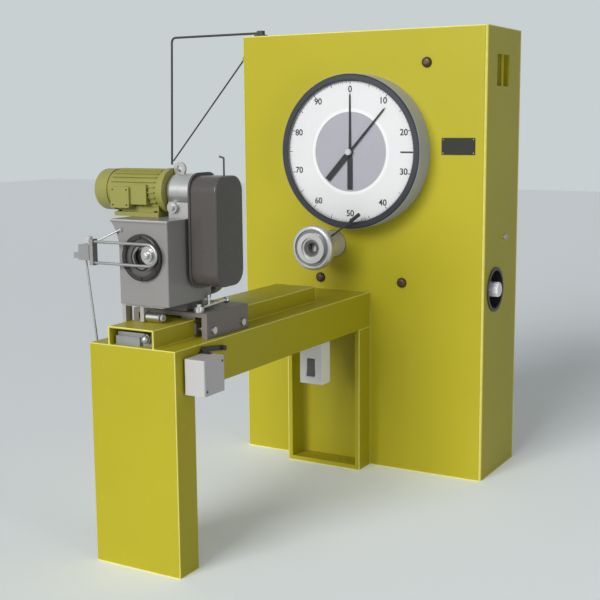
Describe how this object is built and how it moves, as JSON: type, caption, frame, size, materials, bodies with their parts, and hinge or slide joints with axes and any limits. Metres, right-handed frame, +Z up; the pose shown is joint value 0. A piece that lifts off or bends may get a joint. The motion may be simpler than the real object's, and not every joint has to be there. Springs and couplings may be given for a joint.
{
  "type": "torsion testing machine",
  "caption": "Pendulum torsion testing machine: tall dial cabinet, bed on a leg and pedestal, sliding geared driving head with motor and belt guard.",
  "frame": {"origin": "on the floor, straight under the torsion axis, in the middle of the cabinet's depth", "axes": "+Z up, the torsion axis runs along Y, the dial faces -Y and +X is to the right of someone reading the dial"},
  "size_m": [1.285, 1.457, 1.52],
  "materials": {
    "yellow_paint": "satin enamel on folded sheet steel",
    "grey_paint": "satin grey enamel",
    "cast_grey": "painted grey casting",
    "motor_green": "satin enamel",
    "dark_steel": "blackened steel",
    "bright_steel": "turned bright steel",
    "white_plastic": "white moulded plastic",
    "black_plastic": "matte black",
    "dial_white": "matte white print ground",
    "glass": "clear flat glass",
    "rubber": "ribbed belt rubber"
  },
  "bodies": {
    "stand": {"cabinet_shell": "yellow_paint", "cabinet_floor": "yellow_paint", "rear_cover": "yellow_paint", "bearing_beam": "dark_steel", "shaft_bearings": "cast_grey", "pointer_bridge": "bright_steel", "front_bolts": "dark_steel", "nameplate": "black_plastic", "side_port": "dark_steel", "side_grip": "dark_steel", "dial_housing": "grey_paint", "dial_face": "dial_white", "dial_glass": "glass", "bed_frame": "yellow_paint", "bed_rail": "yellow_paint", "pedestal": "yellow_paint", "rail_tie_rod": "dark_steel", "switch_bracket": "grey_paint", "bed_switch_box": "white_plastic", "low_switch_box": "white_plastic", "overhead_arm": "dark_steel", "overhead_stay": "dark_steel"},
    "range_knob_body": {"range_knob": "white_plastic"},
    "panel_lock_body": {"panel_lock": "bright_steel"},
    "rocker_body": {"rocker": "black_plastic"},
    "load_pointer_body": {"load_pointer": "black_plastic", "pointer_arbor": "bright_steel"},
    "max_pointer_body": {"max_pointer": "black_plastic", "reset_knob": "white_plastic"},
    "measuring_body": {"measuring_shaft": "dark_steel", "measuring_chuck": "grey_paint", "measuring_grip": "dark_steel", "hand_lever": "dark_steel", "sector_gear": "bright_steel", "pendulum_arm": "bright_steel", "pendulum_weight": "cast_grey"},
    "head": {"saddle": "cast_grey", "gib_strips": "bright_steel", "gib_screws": "bright_steel", "front_hanger": "dark_steel", "gearbox": "cast_grey", "gearbox_flange": "cast_grey", "belt_guard": "grey_paint", "guard_plate": "dark_steel", "motor_body": "motor_green", "motor_cowl": "motor_green", "motor_adapter": "cast_grey", "terminal_box": "motor_green", "drive_belt": "rubber", "counter_rods": "bright_steel", "counter_body": "grey_paint"},
    "front_roller_body": {"front_roller": "bright_steel"},
    "clamp_lever_body": {"clamp_lever": "bright_steel"},
    "driving_body": {"driving_spindle": "bright_steel", "driving_chuck": "grey_paint", "driving_grip": "dark_steel"},
    "input_pulley_body": {"input_pulley": "cast_grey"},
    "motor_rotor_body": {"motor_rotor": "bright_steel"},
    "counter_shaft_body": {"counter_shaft": "bright_steel"},
    "counter_knob_body": {"counter_knob": "white_plastic"}
  },
  "joints": [
    {"name": "pendulum_swing", "type": "hinge", "parent": "stand", "child": "measuring_body", "pos_m": [0, 0, 0.778], "axis": [0, -1, 0], "range_deg": [0, 45]},
    {"name": "load_pointer_turn", "type": "hinge", "parent": "stand", "child": "load_pointer_body", "pos_m": [0.104, -0.22, 1.099], "axis": [0, 1, 0], "range_deg": [0, 360]},
    {"name": "max_pointer_turn", "type": "hinge", "parent": "stand", "child": "max_pointer_body", "pos_m": [0.104, -0.24, 1.099], "axis": [0, 1, 0], "range_deg": [-42, 318]},
    {"name": "head_slide", "type": "slide", "parent": "stand", "child": "head", "axis": [0, 1, 0], "range_m": [-0.03, 0.49]},
    {"name": "front_roller_turn", "type": "hinge", "parent": "head", "child": "front_roller_body", "pos_m": [0, -1.2, 0.6813], "axis": [1, 0, 0], "range_deg": [-2100, 140]},
    {"name": "clamp_turn", "type": "hinge", "parent": "head", "child": "clamp_lever_body", "pos_m": [0.088, -1.107, 0.7], "axis": [0, 0, -1], "range_deg": [0, 90]},
    {"name": "motor_turn", "type": "hinge", "parent": "head", "child": "motor_rotor_body", "pos_m": [0, -1.087, 1.016], "axis": [1, 0, 0], "continuous": true},
    {"name": "input_turn", "type": "hinge", "parent": "head", "child": "input_pulley_body", "pos_m": [0.06, -1.087, 0.83], "axis": [1, 0, 0], "continuous": true},
    {"name": "spindle_turn", "type": "hinge", "parent": "head", "child": "driving_body", "pos_m": [0, -1.032, 0.778], "axis": [0, 1, 0], "continuous": true},
    {"name": "counter_turn", "type": "hinge", "parent": "head", "child": "counter_shaft_body", "pos_m": [0.034, -1.232, 0.857], "axis": [0, 1, 0], "continuous": true},
    {"name": "counter_reset", "type": "hinge", "parent": "head", "child": "counter_knob_body", "pos_m": [-0.168, -1.25, 0.887], "axis": [0, 0, 1], "range_deg": [-90, 90]},
    {"name": "range_select", "type": "hinge", "parent": "stand", "child": "range_knob_body", "pos_m": [0.54, -0.055, 0.64], "axis": [1, 0, 0], "range_deg": [-60, 60]},
    {"name": "lock_turn", "type": "hinge", "parent": "stand", "child": "panel_lock_body", "pos_m": [0.555, 0.023, 0.809], "axis": [1, 0, 0], "range_deg": [0, 90]},
    {"name": "rocker_tilt", "type": "hinge", "parent": "stand", "child": "rocker_body", "pos_m": [0.039, -0.393, 0.386], "axis": [1, 0, 0], "range_deg": [0, 14]}
  ],
  "couplings": [
    {"joint": "load_pointer_turn", "follows": "pendulum_swing", "ratio": 8},
    {"joint": "front_roller_turn", "follows": "head_slide", "rad_per_m": -71.429},
    {"joint": "input_turn", "follows": "motor_turn", "ratio": 0.54167},
    {"joint": "spindle_turn", "follows": "motor_turn", "ratio": 0.0018056},
    {"joint": "counter_turn", "follows": "motor_turn", "ratio": 0.018056}
  ]
}
